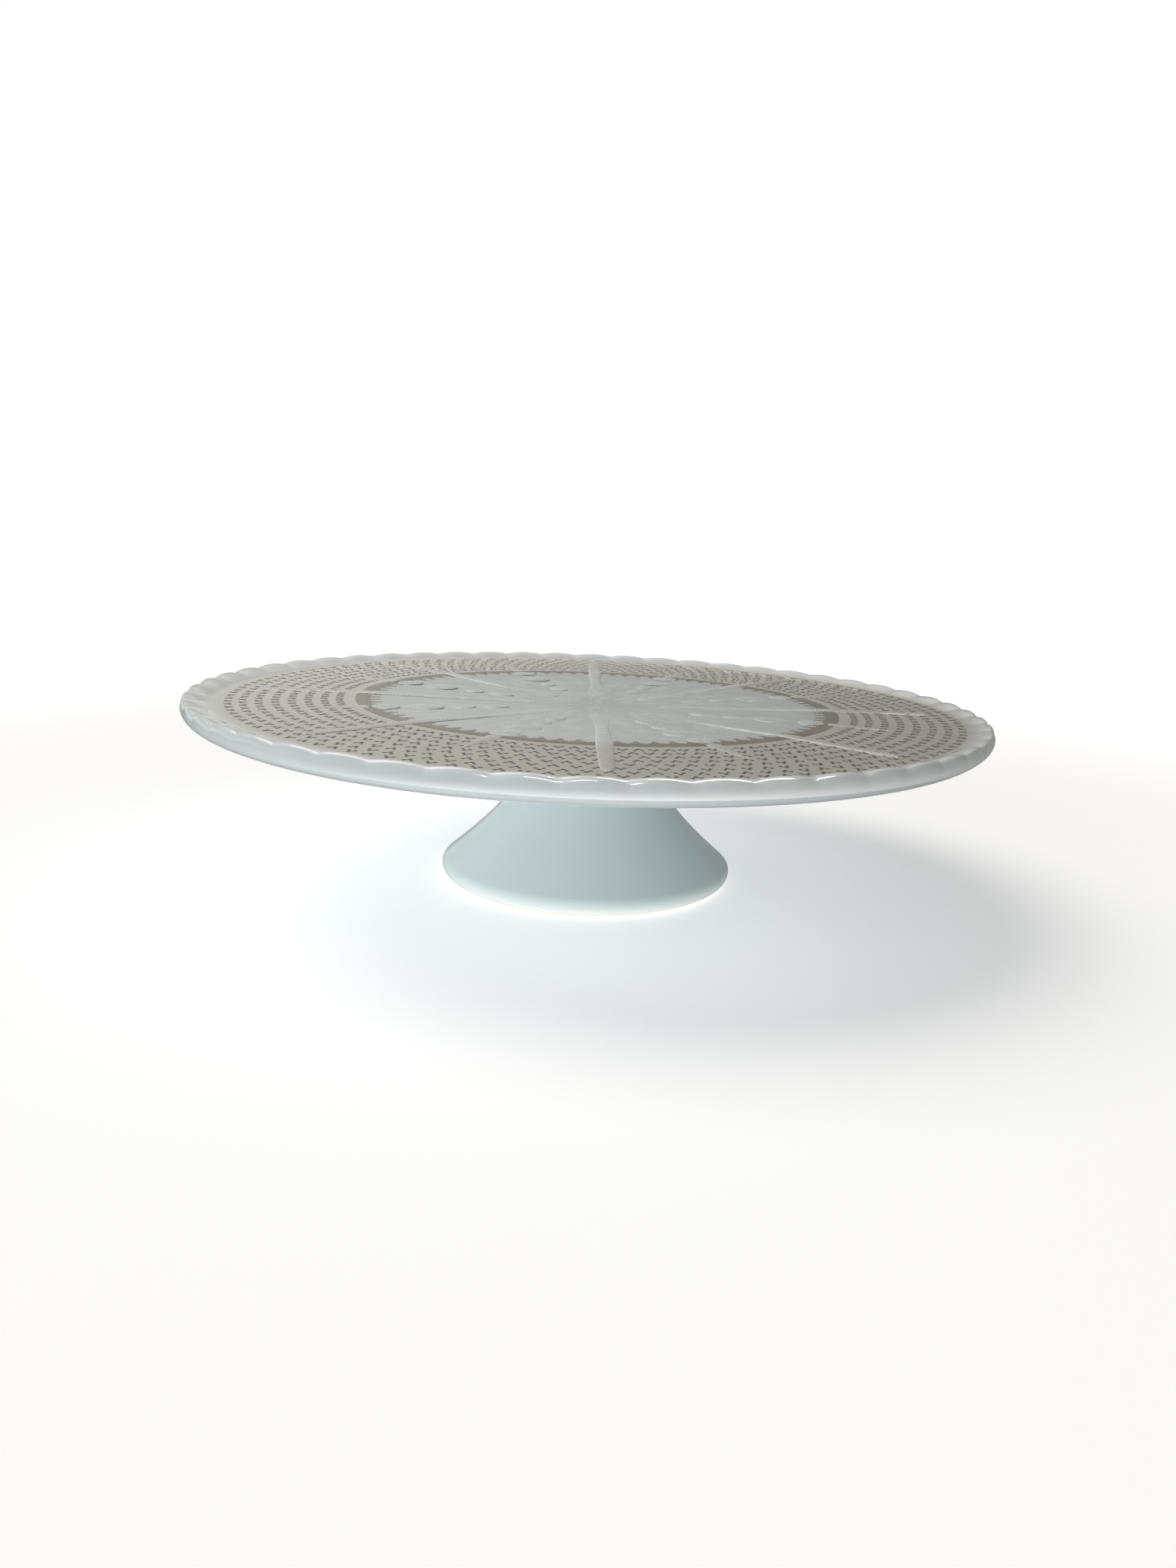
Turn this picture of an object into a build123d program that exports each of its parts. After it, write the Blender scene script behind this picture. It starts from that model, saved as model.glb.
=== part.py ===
# A footed cake stand in glazed porcelain: a round plate with a wavy rim and raised
# decoration, clamped to a hollow flared pedestal by a stud and a wing nut that is
# turned by hand from below. Millimetres, +Z up, origin on the table at the stand's axis.

import os
from math import cos, radians, sin

from build123d import *

# Driving dimensions of the whole stand
plate_diameter = 300.0
overall_height = 72.2  # table to the top of the rim
foot_diameter = 114.2
pad_proud = 0.6  # what the pads lift the foot ring off the table

# Plate
rim_rise = 2.4  # crest above the plate's floor
plate_thickness = 7.0
crest_inset = 1.6  # crest line, in from the widest line
widest_drop = 3.2  # widest line, below the crest
rim_under_width = 16.0  # how far the rim's underside curves in
rim_under_depth = 7.6  # and down
bead_width = 22.0  # the rise from the rim's underside to the flat underside
cove_width = 9.0  # the hollow curve from the crest to the floor
dish_radius = 88.0  # inside this the floor is slightly dished
dish_depth = 1.4  # at the centre, below the level part of the floor
scallop_count = 52
scallop_depth = 0.8
scallop_cutter_radius = 12.0
scallop_turn = -89.6  # degrees from +X to the middle of one lobe

# Raised decoration, one piece with the plate
relief_height = 0.5
relief_root = 0.3  # how far the relief is sunk in the floor
relief_count = 8
relief_turn = -88.8  # degrees from +X to one long rib
relief_shift = 2.4  # the decoration sits this far off the plate's axis, along +X
relief_reach = 134.0  # the relief lies inside this radius

# Seat between plate and pedestal
seat_radius = 28.0
seat_height = 57.8  # top of the pedestal
gasket_thickness = 1.2
gasket_outer_radius = 27.5
gasket_inner_radius = 20.5
spigot_radius = 18.5
spigot_length = 7.0
spigot_play = 0.8  # radial room for the spigot in its recess
recess_depth = 7.5

# Pedestal
web_thickness = 6.3
foot_lip_width = 4.5
foot_lip_height = 4.4
foot_ring_width = 7.1
lip_top_curve = 3.4
lip_top_turn = 50.0  # degrees, where the lip turns into the flare
neck_radius = 24.8
neck_z = 50.0
seat_round = 1.2
web_hole_radius = 4.5

# Fastening
thread_radius = 4.0
thread_pitch = 1.25
running_play = 0.06  # radial
stud_length = 40.0
stud_chamfer = 0.8
insert_length = 13.0
insert_radius = 6.5
insert_flange_radius = 8.5
insert_flange = 1.2
bond_gap = 0.05  # radial, filled by the adhesive
washer_radius = 12.0
washer_bore_radius = 4.35
rubber_thickness = 1.6
steel_thickness = 1.6
nut_height = 9.5
nut_top_radius = 8.0
nut_end_radius = 6.5
wing_span = 39.0
wing_drop = 20.0
wing_thickness = 3.0

# Foot pads
pad_count = 4
pad_radius = 2.8
pad_thickness = 1.6
pad_play = 0.1

# Worked out
plate_radius = plate_diameter / 2
floor_z = overall_height - rim_rise
dish_z = floor_z - dish_depth
dish_curve = (dish_radius**2 + dish_depth**2) / (2 * dish_depth)
under_z = floor_z - plate_thickness
widest_z = overall_height - widest_drop
crest_radius = plate_radius - crest_inset
rim_low_radius = plate_radius - rim_under_width
rim_low_z = widest_z - rim_under_depth
boss_z = seat_height + gasket_thickness
spigot_end_z = boss_z - spigot_length
recess_z = seat_height - recess_depth
web_under_z = recess_z - web_thickness
steel_top_z = web_under_z - rubber_thickness
nut_top_z = steel_top_z - steel_thickness
insert_top_z = spigot_end_z + insert_length
stud_top_z = insert_top_z - 0.5
foot_radius = foot_diameter / 2
foot_ring_outer = foot_radius - foot_lip_width
lip_top_radius = foot_radius - lip_top_curve * (1 - cos(radians(lip_top_turn)))
lip_top_z = pad_proud + foot_lip_height + lip_top_curve * sin(radians(lip_top_turn))
foot_ring_inner = foot_ring_outer - foot_ring_width
pad_circle = (foot_ring_outer + foot_ring_inner) / 2

os.makedirs("parts", exist_ok=True)


# Outline of one long rib: a bulb towards the centre, a slim waist and a rounded tip
with BuildSketch() as rib_outline:
    with BuildLine() as rib_edge:
        rib_side = Spline(
            (24.0, 0),
            (30.0, 4.2),
            (42.0, 3.0),
            (56.0, 2.3),
            (92.0, 2.9),
            (124.0, 2.4),
            (131.0, 0),
            tangents=((0, 1), (0, -1)),
        )
        mirror(rib_side, about=Plane.XZ)
    make_face()

# Outline of one short spoke, which narrows to a point outwards
with BuildSketch() as spoke_outline:
    with BuildLine() as spoke_edge:
        spoke_end = Line((89.5, -2.8), (89.5, 2.8))
        spoke_side = Spline((89.5, 2.8), (102.0, 2.1), (113.5, 0))
        mirror(spoke_side, about=Plane.XZ)
    make_face()

# The chain of beads between two ribs: (distance from the centre, half length, half width)
beads = [
    (42.0, 5.5, 3.4),
    (54.0, 4.2, 3.4),
    (69.0, 7.0, 6.0),
    (83.5, 5.2, 5.2),
]

# Raised decoration: the outlines as tall prisms, cut to a thin layer along the floor
with BuildPart() as relief_layer:
    with BuildSketch(Plane.XY.offset(dish_z - 2 * relief_root)) as relief:
        with Locations((relief_shift, 0)):
            with PolarLocations(0, relief_count, relief_turn):
                add(rib_outline.sketch)
            with PolarLocations(0, relief_count, relief_turn + 180 / relief_count):
                add(spoke_outline.sketch)
            for distance, half_length, half_width in beads:
                with PolarLocations(
                    distance, relief_count, relief_turn + 180 / relief_count
                ):
                    Ellipse(half_length, half_width)
    extrude(amount=dish_depth + 3 * relief_height)
    with BuildSketch(Plane.XZ) as layer_section:
        with BuildLine() as layer_outline:
            layer_top = RadiusArc(
                (0, dish_z + relief_height),
                (dish_radius, floor_z + relief_height),
                -dish_curve,
            )
            layer_end = Polyline(
                layer_top @ 1,
                (relief_reach, floor_z + relief_height),
                (relief_reach, floor_z - relief_root),
                (dish_radius, floor_z - relief_root),
            )
            layer_under = RadiusArc(
                layer_end @ 1,
                (0, dish_z - relief_root),
                dish_curve,
            )
            layer_axis = Line(layer_under @ 1, layer_top @ 0)
        make_face()
    revolve(axis=Axis.Z, mode=Mode.INTERSECT)

# Plate: one revolved section, then the rim's notches and the raised decoration
with BuildPart() as serving_plate:
    with BuildSketch(Plane.XZ) as plate_section:
        with BuildLine() as plate_outline:
            spigot_line = Polyline(
                (0, dish_z),
                (0, spigot_end_z),
                (spigot_radius, spigot_end_z),
                (spigot_radius, boss_z),
                (seat_radius, boss_z),
            )
            boss_side = RadiusArc(
                (seat_radius, boss_z),
                (seat_radius + 3.8, under_z),
                3.9,
            )
            underside = Line(boss_side @ 1, (rim_low_radius - bead_width, under_z))
            bead = Spline(
                underside @ 1,
                (rim_low_radius, rim_low_z),
                tangents=((1, 0), (1, 0)),
            )
            rim_under = EllipticalCenterArc(
                (rim_low_radius, widest_z),
                rim_under_width,
                rim_under_depth,
                start_angle=270,
                arc_size=90,
            )
            rim_lip = EllipticalCenterArc(
                (crest_radius, widest_z),
                crest_inset,
                widest_drop,
                start_angle=0,
                arc_size=90,
            )
            cove = Spline(
                (crest_radius, overall_height),
                (crest_radius - cove_width, floor_z),
                tangents=((-1, 0), (-1, 0)),
            )
            plate_floor = Line(cove @ 1, (dish_radius, floor_z))
            dish = RadiusArc(
                (dish_radius, floor_z),
                (0, dish_z),
                dish_curve,
            )
        make_face()
    revolve(axis=Axis.Z)
    notch_z = overall_height - scallop_depth + scallop_cutter_radius
    half_step = 180 / scallop_count
    with Locations((0, 0, notch_z)):
        with PolarLocations(crest_radius, scallop_count, scallop_turn + half_step):
            Cylinder(scallop_cutter_radius, 14, rotation=(0, 90, 0), mode=Mode.SUBTRACT)
    add(relief_layer.part)
    with BuildSketch(Plane.XY.offset(spigot_end_z)) as insert_mouth:
        Circle(insert_flange_radius + bond_gap)
    extrude(amount=insert_flange, mode=Mode.SUBTRACT)
    with BuildSketch(Plane.XY.offset(spigot_end_z)) as insert_hole:
        Circle(insert_radius + bond_gap)
    extrude(amount=insert_length, mode=Mode.SUBTRACT)

# Insert: brass, flush with the spigot's end
with BuildPart() as plate_insert:
    with BuildSketch(Plane.XY.offset(spigot_end_z)) as insert_flange_disc:
        Circle(insert_flange_radius)
    extrude(amount=insert_flange)
    with BuildSketch(Plane.XY.offset(spigot_end_z)) as insert_body:
        Circle(insert_radius)
    extrude(amount=insert_length)
    with BuildSketch(Plane.XY.offset(spigot_end_z)) as insert_bore:
        Circle(thread_radius + 0.02)
    extrude(amount=insert_length, mode=Mode.SUBTRACT)

# Stud: locked in the insert, reaches down through the web, the washers and the nut
with BuildPart() as clamp_stud:
    with BuildSketch(Plane.XY.offset(stud_top_z - stud_length)) as stud_disc:
        Circle(thread_radius)
    extrude(amount=stud_length)
    stud_ends = clamp_stud.faces().filter_by(Axis.Z).edges()
    chamfer(stud_ends, length=stud_chamfer)

# Gasket between the two glazed seats
with BuildPart() as seat_gasket:
    with BuildSketch(Plane.XY.offset(seat_height)) as gasket_ring:
        Circle(gasket_outer_radius)
        Circle(gasket_inner_radius, mode=Mode.SUBTRACT)
    extrude(amount=gasket_thickness)

# Pedestal: flared shell with a web across its neck and a recess for the spigot
with BuildPart() as pedestal:
    with BuildSketch(Plane.XZ) as pedestal_section:
        with BuildLine() as pedestal_outline:
            foot_ring = Line((foot_ring_inner, pad_proud), (foot_ring_outer, pad_proud))
            foot_lip = EllipticalCenterArc(
                (foot_ring_outer, pad_proud + foot_lip_height),
                foot_lip_width,
                foot_lip_height,
                start_angle=270,
                arc_size=90,
            )
            lip_top = RadiusArc(
                foot_lip @ 1,
                (lip_top_radius, lip_top_z),
                -lip_top_curve,
            )
            flare = Bezier(
                lip_top @ 1,
                (lip_top @ 1) + (lip_top % 1) * 26.0,
                (neck_radius, neck_z - 12.0),
                (neck_radius, neck_z),
            )
            neck = TangentArc(
                (neck_radius, neck_z),
                (seat_radius, seat_height - seat_round),
                tangent=(0, 1),
            )
            seat_edge = RadiusArc(
                neck @ 1,
                (seat_radius - seat_round, seat_height),
                -seat_round * 1.1,
            )
            recess_radius = spigot_radius + spigot_play
            seat_and_recess = Polyline(
                seat_edge @ 1,
                (recess_radius, seat_height),
                (recess_radius, recess_z),
                (web_hole_radius, recess_z),
                (web_hole_radius, web_under_z),
                (16.0, web_under_z),
            )
            hollow = Spline(
                (16.0, web_under_z),
                (20.5, web_under_z - 3.5),
                (28.2, 28.6),
                (34.7, 21.4),
                (44.0, 11.5),
                (foot_ring_inner, 6.0),
                tangents=((1, 0), (0, -1)),
            )
            ring_inside = Line(hollow @ 1, (foot_ring_inner, pad_proud))
        make_face()
    revolve(axis=Axis.Z)
    with BuildSketch(Plane.XY.offset(pad_proud)) as pad_recesses:
        with PolarLocations(pad_circle, pad_count, 45):
            Circle(pad_radius + pad_play)
    extrude(amount=pad_thickness - pad_proud, mode=Mode.SUBTRACT)

# Washers: rubber against the glaze, steel under the nut
with BuildPart() as rubber_washer:
    with BuildSketch(Plane.XY.offset(steel_top_z)) as rubber_ring:
        Circle(washer_radius)
        Circle(washer_bore_radius, mode=Mode.SUBTRACT)
    extrude(amount=rubber_thickness)

with BuildPart() as steel_washer:
    with BuildSketch(Plane.XY.offset(nut_top_z)) as steel_ring:
        Circle(washer_radius)
        Circle(washer_bore_radius, mode=Mode.SUBTRACT)
    extrude(amount=steel_thickness)

# Wing nut: a tapered hub and two rounded wings that reach down and out
wing_tip_radius = 4.0
wing_tip_x = wing_span / 2 - wing_tip_radius
wing_tip_z = nut_top_z - wing_drop + wing_tip_radius
with BuildPart() as wing_nut:
    with BuildSketch(Plane.XY.offset(nut_top_z - nut_height)) as hub_end:
        Circle(nut_end_radius)
    with BuildSketch(Plane.XY.offset(nut_top_z)) as hub_top:
        Circle(nut_top_radius)
    loft()
    with BuildSketch(Plane.XZ) as wing_sketch:
        with BuildLine() as wing_outline:
            wing_upper = Spline(
                (4.6, nut_top_z - 0.8),
                (10.5, nut_top_z - 3.4),
                (wing_tip_x + wing_tip_radius, wing_tip_z),
                tangents=((1, 0), (0, -1)),
            )
            wing_end = RadiusArc(
                wing_upper @ 1,
                (wing_tip_x - wing_tip_radius, wing_tip_z),
                wing_tip_radius,
            )
            wing_lower = Spline(
                wing_end @ 1,
                (4.6, nut_top_z - nut_height + 1.0),
                tangents=((0, 1), (-1, 0.25)),
            )
            wing_root = Line(wing_lower @ 1, wing_upper @ 0)
        make_face()
        mirror(about=Plane.YZ)
    extrude(amount=wing_thickness / 2, both=True)
    with BuildSketch(Plane.XY.offset(nut_top_z - nut_height)) as nut_bore:
        Circle(thread_radius + running_play)
    extrude(amount=nut_height, mode=Mode.SUBTRACT)

# Pads: clear silicone dots in shallow recesses of the foot ring
with BuildPart() as foot_pads:
    with BuildSketch(Plane.XY) as pad_discs:
        with PolarLocations(pad_circle, pad_count, 45):
            Circle(pad_radius)
    extrude(amount=pad_thickness)


serving_plate.part.label = "serving_plate"
plate_insert.part.label = "plate_insert"
clamp_stud.part.label = "clamp_stud"
seat_gasket.part.label = "seat_gasket"
pedestal.part.label = "pedestal"
rubber_washer.part.label = "rubber_washer"
steel_washer.part.label = "steel_washer"
wing_nut.part.label = "wing_nut"
foot_pads.part.label = "foot_pads"

export_step(serving_plate.part, "parts/serving_plate.step")
export_step(plate_insert.part, "parts/plate_insert.step")
export_step(clamp_stud.part, "parts/clamp_stud.step")
export_step(seat_gasket.part, "parts/seat_gasket.step")
export_step(pedestal.part, "parts/pedestal.step")
export_step(rubber_washer.part, "parts/rubber_washer.step")
export_step(steel_washer.part, "parts/steel_washer.step")
export_step(wing_nut.part, "parts/wing_nut.step")
export_step(foot_pads.part, "parts/foot_pads.step")
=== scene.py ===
# A footed cake stand in glazed porcelain: the finish and the fine shapes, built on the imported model.
# Metres in the scene; the settings below are in millimetres and degrees.

from math import atan2, cos, pi, radians, sin, sqrt

import bmesh
import bpy
from mathutils import Matrix, Vector


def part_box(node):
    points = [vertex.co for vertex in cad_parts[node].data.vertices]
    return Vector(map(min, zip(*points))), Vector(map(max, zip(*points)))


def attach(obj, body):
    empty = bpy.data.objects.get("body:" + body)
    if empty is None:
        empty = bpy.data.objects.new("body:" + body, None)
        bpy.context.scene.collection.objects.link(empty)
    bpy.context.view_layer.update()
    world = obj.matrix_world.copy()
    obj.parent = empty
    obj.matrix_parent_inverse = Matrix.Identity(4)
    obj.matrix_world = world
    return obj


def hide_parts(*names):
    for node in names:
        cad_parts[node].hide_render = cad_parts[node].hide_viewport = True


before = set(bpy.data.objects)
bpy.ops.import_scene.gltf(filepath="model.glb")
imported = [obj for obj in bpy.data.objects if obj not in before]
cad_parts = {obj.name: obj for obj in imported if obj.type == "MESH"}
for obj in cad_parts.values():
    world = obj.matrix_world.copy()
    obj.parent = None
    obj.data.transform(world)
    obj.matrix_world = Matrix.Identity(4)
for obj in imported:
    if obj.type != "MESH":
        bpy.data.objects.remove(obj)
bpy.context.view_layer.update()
mm = 0.001


# small steps that every piece is made with


def objectMode():
    if bpy.context.object and bpy.context.object.mode != "OBJECT":
        bpy.ops.object.mode_set(mode="OBJECT")


def chooseOnly(*pieces):
    objectMode()
    bpy.ops.object.select_all(action="DESELECT")
    for piece in pieces:
        piece.select_set(True)
        bpy.context.view_layer.objects.active = piece


def editMode(piece):
    chooseOnly(piece)
    bpy.ops.object.mode_set(mode="EDIT")


def pick(test, faces=False):
    # selects the vertices whose place, or the faces whose middle and normal, pass the test
    bpy.ops.mesh.select_all(action="DESELECT")
    bpy.ops.mesh.select_mode(type="FACE" if faces else "VERT")
    shape = bmesh.from_edit_mesh(bpy.context.object.data)
    if faces:
        for face in shape.faces:
            face.select_set(bool(test(face.calc_center_median() / mm, face.normal)))
    else:
        for corner in shape.verts:
            corner.select_set(bool(test(corner.co / mm)))
    shape.select_flush_mode()
    bmesh.update_edit_mesh(bpy.context.object.data)


def applyModifier(piece, kind, **settings):
    chooseOnly(piece)
    modifier = piece.modifiers.new(kind.lower(), kind)
    for name, value in settings.items():
        setattr(modifier, name, value)
    bpy.context.view_layer.update()
    bpy.ops.object.modifier_apply(modifier=modifier.name)


def cleanShell(piece, near=0.002):
    # closes the seams and poles, then turns every face outwards
    editMode(piece)
    bpy.ops.mesh.select_all(action="SELECT")
    bpy.ops.mesh.remove_doubles(threshold=near * mm)
    bpy.ops.mesh.select_all(action="SELECT")
    bpy.ops.mesh.normals_make_consistent(inside=False)
    objectMode()


def lineOut(name, rows):
    # one vertex drawn out from point to point, (distance from the axis, height); stays in edit mode
    objectMode()
    bpy.ops.object.select_all(action="DESELECT")
    bpy.ops.mesh.primitive_plane_add(size=mm)
    piece = bpy.context.object
    piece.name = name
    bpy.ops.object.mode_set(mode="EDIT")
    bpy.ops.mesh.select_mode(type="VERT")
    bpy.ops.mesh.select_all(action="SELECT")
    bpy.ops.mesh.merge(type="CENTER")
    bpy.ops.mesh.select_all(action="SELECT")
    bpy.ops.transform.translate(value=(rows[0][0] * mm, 0, rows[0][1] * mm))
    for start, stop in zip(rows, rows[1:]):
        step = ((stop[0] - start[0]) * mm, 0, (stop[1] - start[1]) * mm)
        bpy.ops.mesh.extrude_region_move(TRANSFORM_OT_translate={"value": step})
    return piece


def turnRound(name, rows, steps):
    # a line spun once round the upright axis
    piece = lineOut(name, rows)
    bpy.ops.mesh.select_all(action="SELECT")
    bpy.ops.mesh.spin(steps=steps, angle=2 * pi, center=(0, 0, 0), axis=(0, 0, 1))
    cleanShell(piece)
    return piece


def copiesRound(piece, count, turn, pivot=0.0, join=False):
    # the piece repeated round an upright axis that stands at x = pivot
    centre = Vector((pivot * mm, 0, 0))
    swing = Matrix.Rotation(radians(turn), 4, "Z")
    bpy.ops.object.empty_add()
    guide = bpy.context.object
    guide.matrix_world = Matrix.Translation(centre) @ swing @ Matrix.Translation(-centre)
    applyModifier(
        piece,
        "ARRAY",
        count=count,
        use_relative_offset=False,
        use_object_offset=True,
        offset_object=guide,
        use_merge_vertices=join,
        use_merge_vertices_cap=join,
        merge_threshold=0.002 * mm,
    )
    bpy.data.objects.remove(guide)


def swingPiece(piece, turn, pivot=0.0):
    # turns the whole piece about an upright axis that stands at x = pivot
    centre = Vector((pivot * mm, 0, 0))
    swing = Matrix.Rotation(radians(turn), 4, "Z")
    piece.matrix_world = Matrix.Translation(centre) @ swing @ Matrix.Translation(-centre) @ piece.matrix_world
    chooseOnly(piece)
    bpy.ops.object.transform_apply(location=True, rotation=True, scale=True)


def copyOf(piece):
    twin = piece.copy()
    twin.data = piece.data.copy()
    bpy.context.scene.collection.objects.link(twin)
    return twin


def joinAll(pieces):
    chooseOnly(*pieces)
    bpy.context.view_layer.objects.active = pieces[0]
    bpy.ops.object.join()
    return pieces[0]


def finishPiece(piece, body, finish, standsFor=(), smooth=40):
    chooseOnly(piece)
    bpy.ops.object.transform_apply(location=True, rotation=True, scale=True)
    bpy.ops.object.shade_smooth_by_angle(angle=radians(smooth))
    piece.data.materials.clear()
    piece.data.materials.append(finish)
    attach(piece, body)
    if standsFor:
        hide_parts(*standsFor)
    print("made", piece.name, len(piece.data.polygons), "faces")


# rows of (distance from the axis, height) along common section curves; each leaves out its first point


def arcRow(centre, radii, start, stop, steps):
    turns = [radians(start + (stop - start) * step / steps) for step in range(1, steps + 1)]
    return [(centre[0] + radii[0] * cos(t), centre[1] + radii[1] * sin(t)) for t in turns]


def lineRow(start, stop, steps):
    shares = [step / steps for step in range(1, steps + 1)]
    return [(start[0] + (stop[0] - start[0]) * s, start[1] + (stop[1] - start[1]) * s) for s in shares]


def ease(share):
    share = min(max(share, 0.0), 1.0)
    return share * share * (3 - 2 * share)


def easeRow(start, stop, steps):
    shares = [step / steps for step in range(1, steps + 1)]
    return [(start[0] + (stop[0] - start[0]) * s, start[1] + (stop[1] - start[1]) * ease(s)) for s in shares]


def bezierRow(a, b, c, d, steps):
    found = []
    for step in range(1, steps + 1):
        t = step / steps
        k = ((1 - t) ** 3, 3 * t * (1 - t) ** 2, 3 * t * t * (1 - t), t**3)
        found.append(tuple(k[0] * a[i] + k[1] * b[i] + k[2] * c[i] + k[3] * d[i] for i in (0, 1)))
    return found


# materials


def linear(code):
    # an sRGB hex colour as the linear one that the nodes work in
    shades = [int(code[i : i + 2], 16) / 255 for i in (0, 2, 4)]
    return tuple(c / 12.92 if c <= 0.04045 else ((c + 0.055) / 1.055) ** 2.4 for c in shades) + (1.0,)


def newFinish(name):
    finish = bpy.data.materials.new(name)
    finish.use_nodes = True
    finish.node_tree.nodes.clear()
    return finish, finish.node_tree


def addNode(tree, kind, values=None, links=None, stops=None, **settings):
    node = tree.nodes.new(kind)
    for name, value in settings.items():
        setattr(node, name, value)
    for socket, value in (values or {}).items():
        node.inputs[socket].default_value = value
    for socket, source in (links or {}).items():
        tree.links.new(source, node.inputs[socket])
    if stops:
        while len(node.color_ramp.elements) < len(stops):
            node.color_ramp.elements.new(1.0)
        for element, (place, code) in zip(node.color_ramp.elements, stops):
            element.position = place
            element.color = linear(code) if isinstance(code, str) else (code, code, code, 1)
    return node


def closeFinish(tree, surface, links=None, height=None, strength=0.2, depth=0.05):
    # the shader itself, a bump of that many millimetres, and the output
    joined = dict(links or {})
    if height is not None:
        bump = addNode(
            tree, "ShaderNodeBump", {"Strength": strength, "Distance": depth * mm}, {"Height": height}
        )
        joined["Normal"] = bump.outputs["Normal"]
    shader = addNode(tree, "ShaderNodeBsdfPrincipled", surface, joined)
    addNode(tree, "ShaderNodeOutputMaterial", links={"Surface": shader.outputs["BSDF"]})


# glaze on porcelain: glass over a white body, so a clear gloss with a very slight waviness
plateGlaze = {
    # one white glaze in lit and shaded copies: the crest and the top of the inner wall are painted lighter as
    # light, the rim's outside and the underside darker as shade
    "body": "C6CFD2",  # the rim's outside and the underside, painted darker than the crest as shade
    "rim": "F0F4F4",
    "band": "C9CBC8",  # the plain inner wall between the print and the rim, painted grey as shade
    "ground": "C4BDAE",  # beige wash under the print
    "well": "BFC7C5",  # cool centre inside the ring
    "streak": "E3E8E6",  # milky rays in the centre, where the glaze pooled between the ribs
    "hub": "A9B3AE",
    "hubEdge": 12.0,
    "hubFade": 8.0,
    "rayRepeats": 14.0,  # how quickly the milky rays change round the centre
    "rayScale": 6.0,
    "rayFade": 22.0,
    "wellEdge": 88.5,
    "groundEdge": 139.0,
    "bandEdge": 146.5,
    "crestEdge": 148.6,
    "softEdge": 2.0,
    "sharpEdge": 0.6,
    "topSide": 66.0,  # the wash lies only on what is above this height
    "waveSize": 14.0,
    "speckSize": 0.9,
    "speckApart": 6,
    "printShift": 2.4,
    "reach": 160.0,
}


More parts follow.
